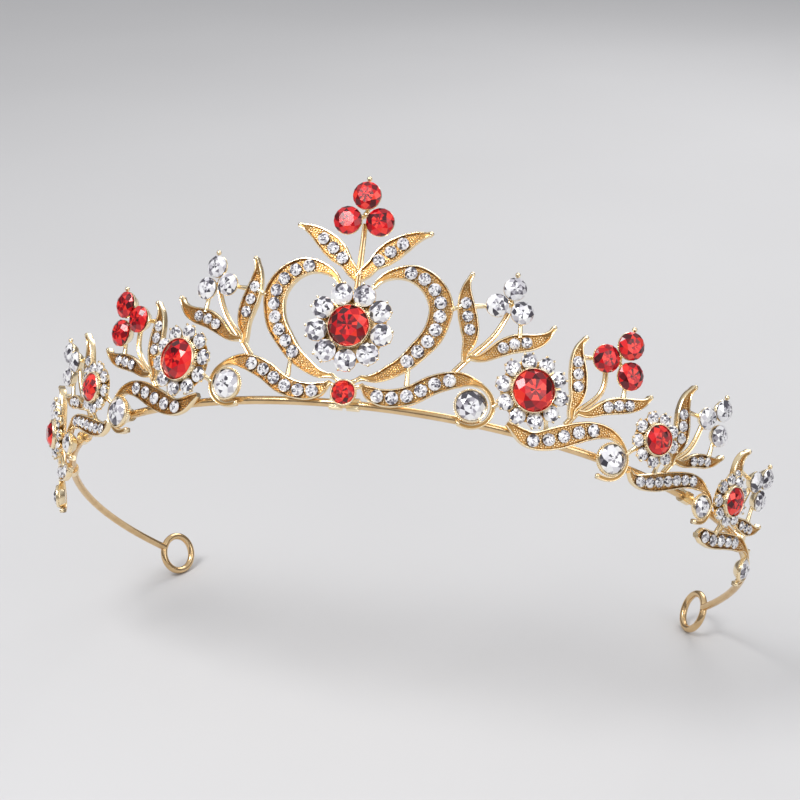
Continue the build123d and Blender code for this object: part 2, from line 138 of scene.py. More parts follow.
UPRIGHT_LEAVES = [
    [(19.4, 11.5, 0.9), (19.7, 13.2, 2.4), (19.5, 15.4, 3.3), (18.8, 17.6, 3.5), (18.2, 19.6, 3.2),
     (17.8, 21.6, 2.3), (17.8, 23.5, 1.3), (18.3, 25.2, 0.4)],
    [(39.4, 6.8, 0.9), (39.7, 8.5, 2.3), (39.6, 10.7, 3.3), (39.0, 13.2, 3.4), (38.4, 15.3, 2.8),
     (38.1, 17.2, 1.8), (38.3, 18.5, 1.1), (38.9, 19.7, 0.4)],
    [(61.1, 6.5, 0.9), (61.5, 8.1, 2.2), (61.7, 9.9, 3.1), (61.3, 12.1, 3.3), (60.6, 14.4, 3.0),
     (60.3, 16.5, 2.2), (60.6, 18.3, 1.3), (61.4, 19.8, 0.4)],
    [(80.7, 5.1, 0.9), (80.2, 6.7, 2.1), (79.1, 9.0, 2.9), (78.2, 11.3, 2.9), (77.9, 13.3, 2.2),
     (78.4, 14.9, 1.4), (79.5, 16.2, 0.4)],
]
SIDE_LEAVES = [
    [(21.9, 11.0, 0.9), (23.8, 12.3, 2.3), (25.5, 13.8, 3.1), (27.4, 15.0, 3.4), (29.5, 15.8, 3.1),
     (31.3, 16.8, 2.4), (32.5, 18.1, 1.4), (33.2, 19.6, 0.4)],
    [(42.3, 7.0, 0.9), (44.1, 8.3, 2.2), (45.8, 9.5, 2.9), (47.6, 10.4, 3.1), (49.6, 11.2, 2.8),
     (51.3, 12.1, 2.1), (52.5, 13.1, 1.3), (53.2, 14.2, 0.4)],
    [(63.7, 6.2, 0.9), (65.3, 7.2, 2.2), (66.8, 8.1, 2.7), (68.6, 8.8, 2.7), (70.3, 9.5, 2.0),
     (71.6, 10.4, 1.2), (72.6, 11.5, 0.4)],
    [(82.6, 3.7, 0.9), (84.1, 3.9, 2.3), (86.2, 4.3, 2.9), (88.6, 4.9, 2.9), (90.8, 5.7, 2.1),
     (92.4, 6.6, 1.3), (93.6, 7.8, 0.4)],
]
CREST_LEAF = [
    (1.1, 22.9, 0.8), (2.2, 24.3, 2.3), (3.7, 25.9, 3.7), (5.1, 27.3, 4.0), (6.8, 28.8, 3.3),
    (8.8, 30.2, 2.0), (10.8, 31.0, 0.5),
]
# A stem's first point is on its scroll's upper edge, and its last is under its berries.
CREST_STEM = [(0.0, 19.6), (0.0, 22.9), (0.0, 25.6), (0.0, 28.3), (0.0, 31.6)]
STEMS = [
    [(18.1, 7.6), (20.1, 10.5), (21.7, 12.6), (23.3, 14.9), (24.4, 17.3), (25.2, 19.9)],
    [(39.0, 3.9), (41.0, 7.2), (42.9, 9.6), (44.0, 12.0), (43.6, 15.8)],
    [(60.4, 3.0), (62.2, 6.3), (64.0, 8.5), (65.0, 11.0), (65.5, 14.6)],
    [(79.0, -0.4), (80.7, 3.0), (82.3, 5.4), (83.5, 7.9), (84.3, 11.3)],
]
# Where small cast bars from a sprig's berries end on its two leaves, by sprig
SPRIG_BARS = [
    [(19.4, 19.8), (27.9, 16.2)],
    [(39.3, 16.3), (48.2, 11.8)],
    [(61.4, 15.1), (69.4, 10.0)],
    [(78.8, 12.1), (88.1, 5.8)],
]
# Small cast bars from a scroll to its neighbours, each from one (s, t, out) to another
HOOK_BARS = [
    [((10.3, 8.9, 0), (10.6, 3.8, 0)), ((15.8, 18.4, 0), (17.4, 19.3, 0)),
     ((25.7, 3.2, 0), (26.9, 4.2, 0.8))],
    [((51.6, 3.0, 0), (52.9, 4.8, 0.8)), ((35.8, 2.0, 0), (35.0, 3.8, 0.8))],
    [((73.5, 2.0, 0), (74.4, 3.4, 0.8)), ((58.4, 2.0, 0), (58.0, 4.0, 0.8))],
    [((78.2, -1.3, 0), (77.9, 1.6, 0.8)), ((94.4, 0.5, 0), (92.9, 2.6, 0))],
]
# Small cast bars from the centre drop to the arm and the scroll on its right
DROP_BARS = [((1.6, 2.3), (3.1, 2.9)), ((0.9, 3.2), (2.6, 4.2))]
# The flowers beside scrolls 2 to 4: s of the middle, and how many petal stones
FLOWERS = [(31.4, 10), (55.6, 9), (77.0, 9)]
FLOWER_RISE = 6.5
FLOWER_OUT = 2.0

CLEAR_NODES = (
    "heart_pave", "heart_petals", "crest_pave", "scroll_pave", "hook_stones", "leaf_pave",
    "clear_berries", "flower_petals",
)
RUBY_NODES = ("heart_ruby", "crest_berries", "centre_drop_stone", "red_berries", "flower_rubies")

# The studio, in metres. The camera stands and looks as the photograph's did.
AIM = (0, -0.02, 0.04)
CAMERA_PLACE = (0.0764, -0.3307, 0.1736)
CAMERA_HEADING = (-0.2138, 0.8989, -0.3826)
CAMERA_LENS = 81.0
CAMERA_SENSOR = 36.0
FLOOR_REACH = 3.0


# Layout

def seat(s, t, out=0.0):
    """Matrix of a place on the face, in millimetres: x along the band, y up the face, z outward."""
    turn, radius, shift = s / FACE_RADIUS, FACE_RADIUS, 0.0
    if turn > BLEND:
        turn = BLEND + (s - FACE_RADIUS * BLEND) / SIDE_FACE_RADIUS
        radius, shift = SIDE_FACE_RADIUS, FACE_RADIUS - SIDE_FACE_RADIUS
    reach = radius + t * sin(FLARE) + out * cos(FLARE)
    height = t * cos(FLARE) - out * sin(FLARE) - DROOP * (s / DROOP_LENGTH) ** 2
    x = Vector((cos(turn), sin(turn), 0))
    z = Vector((sin(turn) * cos(FLARE), -cos(turn) * cos(FLARE), -sin(FLARE)))
    y = z.cross(x)
    place = Vector((
        shift * sin(BLEND) + reach * sin(turn), -shift * cos(BLEND) - reach * cos(turn), height,
    ))
    flat = Matrix((x, y, z)).transposed().to_4x4()
    flat.translation = place
    return Matrix.Rotation(-TILT, 4, "X") @ flat


def spline(points, step):
    """Rows (s, t, width, distance) every step along a natural cubic spline through the points."""
    rows = np.array([tuple(p) + (2 * STEM_RADIUS,) * (3 - len(p)) for p in points], float)
    marks = np.r_[0, np.cumsum(np.hypot(*np.diff(rows[:, :2], axis=0).T))]
    gaps, n = np.diff(marks), len(rows)
    system, slope = np.eye(n), np.zeros((n, 2))
    for i in range(1, n - 1):
        system[i, i - 1:i + 2] = gaps[i - 1], 2 * (gaps[i - 1] + gaps[i]), gaps[i]
        rise = np.diff(rows[i - 1:i + 2, :2], axis=0)
        slope[i] = 6 * (rise[1] / gaps[i] - rise[0] / gaps[i - 1])
    bend = np.linalg.solve(system, slope)
    stations = np.linspace(0, marks[-1], max(8, round(marks[-1] / step)))
    out = []
    for u in stations:
        i = min(max(np.searchsorted(marks, u) - 1, 0), n - 2)
        b = (u - marks[i]) / gaps[i]
        a = 1 - b
        curve = (a ** 3 - a) * bend[i] + (b ** 3 - b) * bend[i + 1]
        place = a * rows[i, :2] + b * rows[i + 1, :2] + curve * gaps[i] ** 2 / 6
        out.append((place[0], place[1], a * rows[i, 2] + b * rows[i + 1, 2], u))
    return out


def along(rows, middle=0.0):
    """For each row, a matrix whose x points across the ribbon and whose y points outward."""
    frames = []
    for i, (s, t, _, _) in enumerate(rows):
        before, after = rows[max(i - 1, 0)], rows[min(i + 1, len(rows) - 1)]
        ds, dt = after[0] - before[0], after[1] - before[1]
        size = hypot(ds, dt)
        here = seat(s, t, middle)
        x_dir, y_dir = here.col[0].xyz, here.col[1].xyz
        across = (x_dir * -dt + y_dir * ds) / size
        outward = here.col[2].xyz
        turned = Matrix((across, outward, across.cross(outward))).transposed().to_4x4()
        turned.translation = here.translation
        frames.append(turned)
    return frames


# Mesh building

class Shape:
    """Vertices, faces and one value per face, gathered and then written as an object."""

    def __init__(self):
        self.points, self.faces, self.values = [], [], []

    def add(self, points, faces, values):
        """Append a mesh. values is one number for all faces, or a list of one number each."""
        base = len(self.points)
        self.points += [Vector(p) for p in points]
        self.faces += [tuple(base + i for i in face) for face in faces]
        self.values += list(values) if isinstance(values, list) else [values] * len(faces)

    def tube(self, frames, outlines, values=0.0):
        """Skin equal-length closed outlines, each given in its frame's x and y, with end caps.
        values may be one list with a number for each point of the outline."""
        count = len(outlines[0])
        points = [m @ Vector((x, y, 0)) for m, line in zip(frames, outlines) for x, y in line]
        faces, tones = [], []
        for ring in range(len(frames) - 1):
            for i in range(count):
                a, b = ring * count + i, ring * count + (i + 1) % count
                faces.append((a, b, b + count, a + count))
                tones.append(values[i] if isinstance(values, list) else values)
        faces.append(tuple(reversed(range(count))))
        faces.append(tuple((len(frames) - 1) * count + i for i in range(count)))
        self.add(points, faces, tones + [0.0, 0.0])

    def turned(self, place, profile, sides=24, values=0.0):
        """Turn an open (radius, height) profile, from axis to axis, about the place's z."""
        points, faces = [], []
        rings = [r for r in profile if r[0] > 0]
        for radius, height in rings:
            for i in range(sides):
                turn = 2 * pi * i / sides
                points.append(place @ Vector((radius * cos(turn), radius * sin(turn), height)))
        for ring in range(len(rings) - 1):
            for i in range(sides):
                a, b = ring * sides + i, ring * sides + (i + 1) % sides
                faces.append((a, b, b + sides, a + sides))
        ends = ((profile[0][1], 0, True), (profile[-1][1], len(rings) - 1, False))
        for height, ring, flip in ends:
            points.append(place @ Vector((0, 0, height)))
            tip = len(points) - 1
            for i in range(sides):
                a, b = ring * sides + i, ring * sides + (i + 1) % sides
                faces.append((b, a, tip) if flip else (a, b, tip))
        self.add(points, faces, values)

    def ball(self, place, radius, sides=12, values=0.0):
        """A round bead."""
        steps = max(3, sides // 2)
        profile = [
            (radius * sin(pi * i / steps), -radius * cos(pi * i / steps))
            for i in range(steps + 1)
        ]
        profile[0], profile[-1] = (0, -radius), (0, radius)
        self.turned(place, profile, sides, values)

    def link(self, a, b, radius):
        """A short bar between two points, waisted in the middle."""
        lean = (b - a).to_track_quat("Z", "Y").to_matrix().to_4x4()
        lean.translation = (a + b) / 2
        half = (b - a).length / 2
        self.turned(lean, [
            (0, -half), (1.25 * radius, -half), (radius, -0.4 * half), (0.92 * radius, 0),
            (radius, 0.4 * half), (1.25 * radius, half), (0, half),
        ], sides=12)

    def mirrored(self):
        """The mirror image in the middle plane."""
        twin = Shape()
        twin.points = [Vector((-p.x, p.y, p.z)) for p in self.points]
        twin.faces = [tuple(reversed(face)) for face in self.faces]
        twin.values = list(self.values)
        return twin

    def build(self, name, material, slot, nodes, crease=CAST_CREASE):
        """Write the object, and let it ride on the crown in place of the CAD nodes."""
        mesh = bpy.data.meshes.new(name)
        mesh.from_pydata([tuple(p * MM) for p in self.points], [], self.faces)
        mesh.attributes.new("tone", "FLOAT", "FACE").data.foreach_set("value", self.values)
        mesh.shade_smooth()
        mesh.set_sharp_from_angle(angle=radians(crease))
        mesh.materials.append(material)
        piece = bpy.data.objects.new(name, mesh)
        bpy.context.scene.collection.objects.link(piece)
        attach(piece, "root")
        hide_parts(*nodes)


# Stones

class Stone:
    """Place, size and depth of a stone, measured on one loose part of a CAD node."""

    def __init__(self, points):
        middle = points.mean(0)
        axis = np.linalg.eigh(np.cov((points - middle).T))[1][:, 0]
        reach = (points - middle) @ axis
        spread = np.linalg.norm(points - middle - np.outer(reach, axis), axis=1)
        # The table in front is broad, and the culet behind is not.
        slack = 0.02
        front = spread[reach > reach.max() - slack].max()
        back = spread[reach < reach.min() + slack].max()
        if front < back:
            axis, reach = -axis, -reach
        self.size = 2 * spread.max()
        self.depth = np.ptp(reach) - TABLE_HEIGHT * self.size
        centre = middle + axis * (reach.max() - TABLE_HEIGHT * self.size)
        z = Vector(axis)
        y = (UP_THE_FACE - z * UP_THE_FACE.dot(z)).normalized()
        self.place = Matrix((y.cross(z), y, z)).transposed().to_4x4()
        self.place.translation = Vector(centre)


def stones_of(node):
    """The stones of a CAD node, from left to right."""
    mesh = bmesh.new()
    mesh.from_mesh(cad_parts[node].data)
    bmesh.ops.remove_doubles(mesh, verts=mesh.verts, dist=2e-6)
    unseen, parts = set(mesh.verts), []
    while unseen:
        waiting, part = [unseen.pop()], []
        while waiting:
            vert = waiting.pop()
            part.append(vert.co / MM)
            for link in vert.link_edges:
                other = link.other_vert(vert)
                if other in unseen:
                    unseen.remove(other)
                    waiting.append(other)
        parts.append(np.array(part, float))
    mesh.free()
    found = [Stone(part) for part in parts]
    return sorted(found, key=lambda stone: tuple(round(v, 3) for v in stone.place.translation))


def painted_facet_light(y):
    """Brightness of a facet, painted light: a random painted flash or dark facet, with the lower
    half painted brighter as if it caught more light.
    """
    return min(1.0, max(0.0, 0.5 + SPARKLE * (dice.random() - 0.5) - 0.3 * y))


def add_brilliant(shape, stone):
    """A brilliant: split table, stars, kites and halves above, sixteen facets below."""
    girdle, table, top = 0.5, 0.28, TABLE_HEIGHT
    ring = [(radius, turn * pi / 8, height) for radius, turn, height in (
        [(0.13, i, top) for i in range(16)]
        + [(table * (1.0 if i % 2 == 0 else cos(pi / 8)), i, top) for i in range(16)]
        + [(0.395, 2 * i + 1, 0.12) for i in range(8)]
        + [(girdle, i, GIRDLE_HEIGHT) for i in range(16)]
        + [(girdle, i, -0.03) for i in range(16)]
    )]
    points = [(r * cos(a), r * sin(a), z) for r, a, z in ring]
    points += [(0, 0, top), (0, 0, -stone.depth / stone.size)]
    heart, culet = len(points) - 2, len(points) - 1
    inner, outer, star, upper, lower = 0, 16, 32, 40, 56
    groups = []
    for i in range(16):
        j = (i + 1) % 16
        groups.append([(inner + i, inner + j, heart)])
        groups.append([(outer + i, outer + j, inner + j, inner + i)])
        groups.append([(upper + i, lower + i, lower + j, upper + j)])
        groups.append([(lower + j, lower + i, culet)])
        m = star + i // 2
        groups.append([(m, upper + i, upper + j)])
    for i in range(8):
        m, before = star + i, star + (i - 1) % 8
        tip, side, after = outer + 2 * i, outer + 2 * i + 1, outer + (2 * i + 2) % 16
        groups.append([(tip, m, side), (side, m, after)])
        groups.append([(tip, before, upper + 2 * i), (tip, upper + 2 * i, m)])
    spin = Matrix.Rotation(dice.uniform(0, pi / 4), 4, "Z")
    place = stone.place @ Matrix.Scale(stone.size * 0.995, 4) @ spin
    turned = [spin @ Vector(p) for p in points]
    inside = Vector((0, 0, GIRDLE_HEIGHT))
    faces, tones = [], []
    for group in groups:
        corners = [turned[i] for face in group for i in face]
        # Each facet group gets painted light: a random painted flash or darkness, brighter toward
        # the stone's lower side
        tone = painted_facet_light(sum(p.y for p in corners) / len(corners))
        for face in group:
            a, b, c = (Vector(points[i]) for i in face[:3])
            if (b - a).cross(c - a).dot(a + b + c - 3 * inside) < 0:
                face = tuple(reversed(face))
            faces.append(face)
            tones.append(tone)
    shape.add([place @ Vector(p) for p in points], faces, tones)


# Settings

def add_bezel(shape, stone, foot):
    """A round setting: tapered cup, rolled lip over the girdle and a fine beaded edge below it."""
    r = stone.size / 2
    lip = r + LIP
    shape.turned(stone.place, [
        (0, -foot), (0.66 * r, -foot), (0.72 * r, 0.1 - foot), (lip - 0.1, -0.32 * r),
        (lip, -0.2 * r), (lip, 0.02 * r), (lip - 0.05, 0.08 * r), (lip - 0.14, 0.11 * r),
        (lip - 0.24, 0.09 * r), (r + 0.01, 0.03 * r), (r, -0.1 * r), (0.3 * r, -0.6 * r),
        (0, -0.6 * r),
    ], sides=40)
    count = round(2 * pi * lip / BEAD_PITCH)
    for i in range(count):
        turn = 2 * pi * i / count
        bead = Matrix.Translation((lip * cos(turn), lip * sin(turn), -0.16 * r))
        shape.ball(stone.place @ bead, BEAD, sides=6)


def add_cup(shape, stone, foot, claws):
    """An open cup, ending under the girdle, with small claws at the given turns."""
    r = stone.size / 2
    shape.turned(stone.place, [
        (0, -foot), (0.6 * r, -foot), (0.66 * r, 0.08 - foot), (0.97 * r, -0.3 * r),
        (1.0 * r, -0.2 * r), (0.97 * r, -0.14 * r), (0.88 * r, -0.16 * r), (0.3 * r, -0.62 * r),
        (0, -0.62 * r),
    ], sides=28)
    for turn in claws:
        side = Vector((cos(turn), sin(turn), 0))
        foot_at, tip = side * (0.95 * r) + Vector((0, 0, -0.3 * r)), side * (1.04 * r)
        tip.z = 0.1 * r
        lean = (tip - foot_at).to_track_quat("Z", "Y").to_matrix().to_4x4()
        lean.translation = (tip + foot_at) / 2
        half = (tip - foot_at).length / 2
        profile = [(0, -half), (0.2, -half), (0.17, half), (0, half)]
        shape.turned(stone.place @ lean, profile, sides=8)
        shape.ball(stone.place @ Matrix.Translation(tip), CLAW_TIP, sides=8)


def claw_turns(stone, centre):
    """Two claws on the side of a petal that is away from its flower's centre."""
    away = stone.place.inverted() @ centre.place.translation
    outward = atan2(-away.y, -away.x)
    return [outward - CLAW_SPREAD, outward + CLAW_SPREAD]


# Castings

def channel(width):
    """Outline of a casting with rolled rims, a sunk floor and rounded back."""
    half, rim = width / 2, min(RIM_WIDTH, 0.3 * width)
    floor = RIM - (RIM - FLOOR) * min(1.0, max(0.1, (width - 0.8) / 1.2))
    dip = RIM - floor
    side = [
        (half - 0.5 * rim, BACK), (half - 0.12 * rim, BACK + 0.12), (half, BACK + 0.4),
        (half, RIM - 0.3), (half - 0.1 * rim, RIM - 0.12), (half - 0.35 * rim, RIM - 0.01),
        (half - 0.62 * rim, RIM), (half - 0.88 * rim, RIM - 0.3 * dip),
        (half - rim, floor + 0.25 * dip), (half - 1.12 * rim, floor),
    ]
    return side + [(-x, y) for x, y in reversed(side)]


# One tone for each side of the outline, painted shade: bright rims, a floor and inner slopes
# painted deep with shade, and a back painted duller
CHANNEL_PAINTED_SHADE = [
    0.3, 0.2, 0.1, 0, 0, 0, 0, 0.7, 1.0, 1.0, 1.0, 0.7, 0, 0, 0, 0, 0.1, 0.2, 0.3, 0.4,
]


def add_ribbon(shape, points, stones):
    """A casting with grains on its floor wherever no stone sits."""
    rows = spline(points, LINE_STEP)
    frames = along(rows)
    shape.tube(frames, [channel(max(TIP_WIDTH, row[2])) for row in rows], CHANNEL_PAINTED_SHADE)
    spots = [(stone.place.translation, stone.size / 2) for stone in stones]
    for row in range(0, len(rows), 2):
        width = rows[row][2]
        span = width / 2 - RIM_WIDTH - 0.7 * GRAIN
        if span < 0.05:
            continue
        shift = 0.5 * (row // 2 % 2)
        for lane in range(-GRAIN_LANES, GRAIN_LANES + 1):
            x = (lane + shift) * GRAIN_PITCH + dice.uniform(-GRAIN_SHIFT, GRAIN_SHIFT)
            slip = dice.uniform(-GRAIN_SHIFT, GRAIN_SHIFT)
            lift = Matrix.Translation((x, FLOOR + 0.08, slip))
            grain = frames[row] @ lift
            clear = all((grain.translation - spot).length > r + 0.5 * GRAIN for spot, r in spots)
            if abs(x) <= span and clear:
                radius = GRAIN * dice.uniform(0.75, 1.1)
                shape.ball(grain, radius, sides=6, values=dice.uniform(0.0, 0.5))


def add_grains(shape, stones):
    """Raised grains that hold a row of stones, two between each pair."""
    for left, right in zip(stones, stones[1:]):
        a, b = left.place.translation, right.place.translation
        if (a - b).length > left.size * 1.5:
            continue
        heading = (b - a).normalized()
        side = left.place.col[2].xyz.cross(heading)
        reach = 0.3 * (left.size + right.size) / 2
        for hand in (-1, 1):
            spot = Matrix.Translation((a + b) / 2 + side * hand * reach)
            shape.ball(spot, HOLDING_GRAIN, sides=8)


def add_stem(shape, points):
    """A stem with two raised ridges and a groove between, slightly thinner upward."""
    rows = spline(points, 0.25)
    frames = along(rows, (BACK + RIM) / 2)
    outlines = []
    for *_, distance in rows:
        scale = STEM_RADIUS * (1.06 - 0.16 * distance / rows[-1][3])
        line = []
        for i in range(STEM_SIDES):
            turn = 2 * pi * i / STEM_SIDES
            groove = max(0.0, 1.0 - abs(turn - pi / 2) / GROOVE_REACH)
            r = scale * (1.0 - GROOVE_DEPTH * groove)
            line.append((r * cos(turn), r * sin(turn)))
        outlines.append(line)
    # Painted shade: the faces of the groove carry a dark tone, and the rest of the stem a light one
    tones = [
        0.9 if abs(2 * pi * (i + 0.5) / STEM_SIDES - pi / 2) < 0.3 else 0.05
        for i in range(STEM_SIDES)
    ]
    shape.tube(frames, outlines, tones)


def add_bar(shape, start, end):
    """A short cast bar between two places on or off the face."""
    shape.link(seat(*start).translation, seat(*end).translation, BAR_RADIUS)


# Materials

def new_material(name):
    """A new node material, with its tree and its shader."""
    material = bpy.data.materials.new(name)
    material.use_nodes = True
    tree = material.node_tree
    return material, tree, tree.nodes["Principled BSDF"]


def ramp(tree, source, stops):
    """A colour ramp fed by a socket."""
    node = tree.nodes.new("ShaderNodeValToRGB")
    node.color_ramp.elements[0].position = stops[0][0]
    node.color_ramp.elements[1].position = stops[-1][0]
    for position, _ in stops[1:-1]:
        node.color_ramp.elements.new(position)
    for element, (_, colour) in zip(node.color_ramp.elements, stops):
        element.color = (*colour, 1)
    tree.links.new(source, node.inputs["Fac"])
    return node.outputs["Color"]


def noise(tree, scale, detail=3.0):
    """Noise in the object's own coordinates, with its scale per metre."""
    place = tree.nodes.new("ShaderNodeTexCoord")
    node = tree.nodes.new("ShaderNodeTexNoise")
    node.inputs["Scale"].default_value = scale
    node.inputs["Detail"].default_value = detail
    tree.links.new(place.outputs["Object"], node.inputs["Vector"])
    return node.outputs["Fac"]


def sum_of(tree, a, b, share):
    """a + share * b."""
    node = tree.nodes.new("ShaderNodeMath")
    node.operation = "MULTIPLY_ADD"
    tree.links.new(b, node.inputs[0])
    node.inputs[1].default_value = share
    tree.links.new(a, node.inputs[2])
    return node.outputs[0]


def tone_of(tree):
    """The number that each face carries: painted shade on the castings, painted light on the stones
    and a random tone on the grains.
    """
    node = tree.nodes.new("ShaderNodeAttribute")
    node.attribute_name = "tone"
    return node.outputs["Fac"]


def gold(name, stops, roughness, grain_scale, bump):
    """Plated metal: polished on the rims and rougher in the hollows, with painted shade that makes
    the colour deeper in the hollows.
    """
    material, tree, shader = new_material(name)
    wear = noise(tree, scale=420.0)
    # Painted shade from each face's tone, plus random wear from the noise
    painted_light_and_noise = sum_of(tree, tone_of(tree), wear, 0.35)
    tree.links.new(ramp(tree, painted_light_and_noise, stops), shader.inputs["Base Color"])
    shader.inputs["Metallic"].default_value = 1.0
    low, high = roughness
    rough = tree.nodes.new("ShaderNodeMapRange")
    rough.inputs["To Min"].default_value = low
    rough.inputs["To Max"].default_value = high
    tree.links.new(painted_light_and_noise, rough.inputs["Value"])
    tree.links.new(rough.outputs["Result"], shader.inputs["Roughness"])
    relief = tree.nodes.new("ShaderNodeBump")
    relief.inputs["Strength"].default_value = bump
    relief.inputs["Distance"].default_value = 0.00006
    tree.links.new(noise(tree, grain_scale, detail=2.0), relief.inputs["Height"])
    tree.links.new(relief.outputs["Normal"], shader.inputs["Normal"])
    return material


def gem(name, stops, metallic, coat):
    """Foil-backed glass under a clear polished coat: each facet has its own tone, painted light
    that stands for the flash or darkness of the foil.
    """
    material, tree, shader = new_material(name)
    painted_light_and_noise = sum_of(tree, tone_of(tree), noise(tree, scale=900.0), 0.12)
    tree.links.new(ramp(tree, painted_light_and_noise, stops), shader.inputs["Base Color"])
    shader.inputs["Metallic"].default_value = metallic
    shader.inputs["Roughness"].default_value = 0.12
    shader.inputs["IOR"].default_value = 1.6
    shader.inputs["Coat Weight"].default_value = coat
    shader.inputs["Coat Roughness"].default_value = 0.02
    shader.inputs["Coat IOR"].default_value = 1.6
    return material


# Light gold for the rims, deepening along the ramp to the painted shade of the hollows and the back
CAST_GOLD = gold("cast_gold_polish", [
    (0.0, (1.0, 0.87, 0.62)), (0.3, (0.98, 0.78, 0.48)), (0.7, (0.84, 0.58, 0.29)),
    (1.0, (0.56, 0.32, 0.11)),
], roughness=(0.14, 0.40), grain_scale=5200.0, bump=0.4)
WIRE_GOLD = gold("wire_gold_drawn", [
    (0.0, (0.92, 0.70, 0.42)), (0.2, (0.76, 0.53, 0.28)), (0.4, (0.55, 0.35, 0.16)),
], roughness=(0.16, 0.4), grain_scale=2600.0, bump=0.35)
# The clear and ruby ramps run from painted dark facets to painted flashes of light
CLEAR = gem("clear_glass_foiled", [
    (0.0, (0.02, 0.02, 0.03)), (0.2, (0.12, 0.11, 0.14)), (0.36, (0.44, 0.42, 0.47)),
    (0.58, (0.84, 0.83, 0.87)), (1.0, (1.0, 1.0, 1.0)),
], metallic=0.2, coat=0.6)
RUBY = gem("ruby_glass_foiled", [
    (0.0, (0.03, 0.0, 0.003)), (0.3, (0.20, 0.0, 0.006)), (0.55, (0.52, 0.001, 0.008)),
    (0.85, (0.84, 0.006, 0.012)), (1.0, (1.0, 0.05, 0.03)),
], metallic=0.2, coat=0.15)


# The crown

def build_stones(nodes, material, slot):
    """Stone nodes as faceted stones. Returns the stones by node."""
    found = {node: stones_of(node) for node in nodes}
    for node, stones in found.items():
        shape = Shape()
        for stone in stones:
            add_brilliant(shape, stone)
        shape.build(node + "_cut", material, slot, [node], FACET_CREASE)
    return found


def near_ribbon(points, stones):
    """The stones whose centres lie on a ribbon of the right half, in order along it."""
    girdle_out, step, reach = 0.4, 0.5, 0.9
    spots = [seat(s, t, girdle_out).translation for s, t, _, _ in spline(points, step)]
    chosen = []
    for stone in stones:
        gaps = [(spot - stone.place.translation).length for spot in spots]
        if min(gaps) < reach:
            chosen.append((gaps.index(min(gaps)), stone))
    return [stone for _, stone in sorted(chosen, key=lambda pair: pair[0])]


def build_pair(name, shape, node):
    """The right-hand piece and its mirrored left-hand twin."""
    for hand, half in (("right", shape), ("left", shape.mirrored())):
        half.build(f"{name}_{hand}", CAST_GOLD, "cast_gold", [f"{node}_{hand}"])


def rooted(leaf, stem, foot=LEAF_FOOT):
    """A leaf with a root added, where it grows out of its stem."""
    s, t, _ = leaf[0]
    rows = spline(stem, LINE_STEP)
    at = min(range(len(rows)), key=lambda i: hypot(rows[i][0] - s, rows[i][1] - t))
    root = rows[max(0, at - ROOT_STEPS)]
    return [(root[0], root[1], 0.7 * foot), (s, t, foot)] + leaf[1:]


def build_ribbon(name, routes, stones, node, bars=()):
    """A cast node of one or more ribbons, with its grains and bars."""
    shape = Shape()
    for points in routes:
        own = near_ribbon(points, stones)
        add_ribbon(shape, points, own)
        add_grains(shape, own)
        s, t, width = points[-1]
        if width < TIP_WIDTH:
            shape.ball(seat(s, t, RIM - 0.35), TIP_WIDTH / 2)
    for start, end in bars:
        add_bar(shape, start, end)
    build_pair(name, shape, node)


def cluster(stem, berries, bars=()):
    """A stem with its berry cups, a hub between them, a ball on the top berry, and bars."""
    shape = Shape()
    add_stem(shape, stem)
    top = max(berries, key=lambda berry: berry.place.translation.dot(UP_THE_FACE))
    middle = sum((berry.place.translation for berry in berries), Vector()) / len(berries)
    behind = top.place.col[2].xyz * (-0.36 * top.size)
    for berry in berries:
        add_cup(shape, berry, CUP_DEPTH * berry.size, claws=[])
        shape.link(middle + behind, berry.place.translation + behind, BAR_RADIUS)
    shape.ball(Matrix.Translation(middle + behind), HUB_RADIUS, sides=14)
    rise = Matrix.Translation((0, top.size / 2 + 0.9 * BALL_RADIUS, -0.1 * top.size))
    shape.ball(top.place @ rise, 0.8 * BALL_RADIUS, sides=14)
    for spot in bars:
        end = seat(*spot).translation
        berry = nearest(berries, end, 1)[0]
        start = berry.place.translation - berry.place.col[2].xyz * 0.3 * berry.size
        shape.link(start, end, BAR_RADIUS)
    return shape


def flower(ruby, petals):
    """A flower's setting: bezel, petal cups with claws, and a round plate behind."""
    shape = Shape()
    heart = ruby.place.inverted()
    drop = max((heart @ petal.place.translation).z for petal in petals)
    foot = PETAL_CUP_DEPTH * petals[0].size
    add_bezel(shape, ruby, foot - drop)
    for petal in petals:
        add_cup(shape, petal, foot, claw_turns(petal, ruby))
    circle = hypot(*(heart @ petals[0].place.translation).xy)
    edge, half = circle + 0.1 * petals[0].size, PLATE / 2
    plate = ruby.place @ Matrix.Translation((0, 0, drop - foot - half))
    # The plate behind carries tone 0.3, painted shade that keeps it darker than the bezel and cups
    shape.turned(plate, [
        (0, -half), (circle - 0.1, -half), (edge, -0.05), (edge, 0.08), (circle, half), (0, half),
    ], sides=48, values=0.3)
    return shape


def right_half(stones):
    """The stones on the right of the middle plane."""
    return [stone for stone in stones if stone.place.translation.x > 0.5]


def nearest(stones, target, count):
    """The stones nearest to a place."""
    return sorted(stones, key=lambda stone: (stone.place.translation - target).length)[:count]


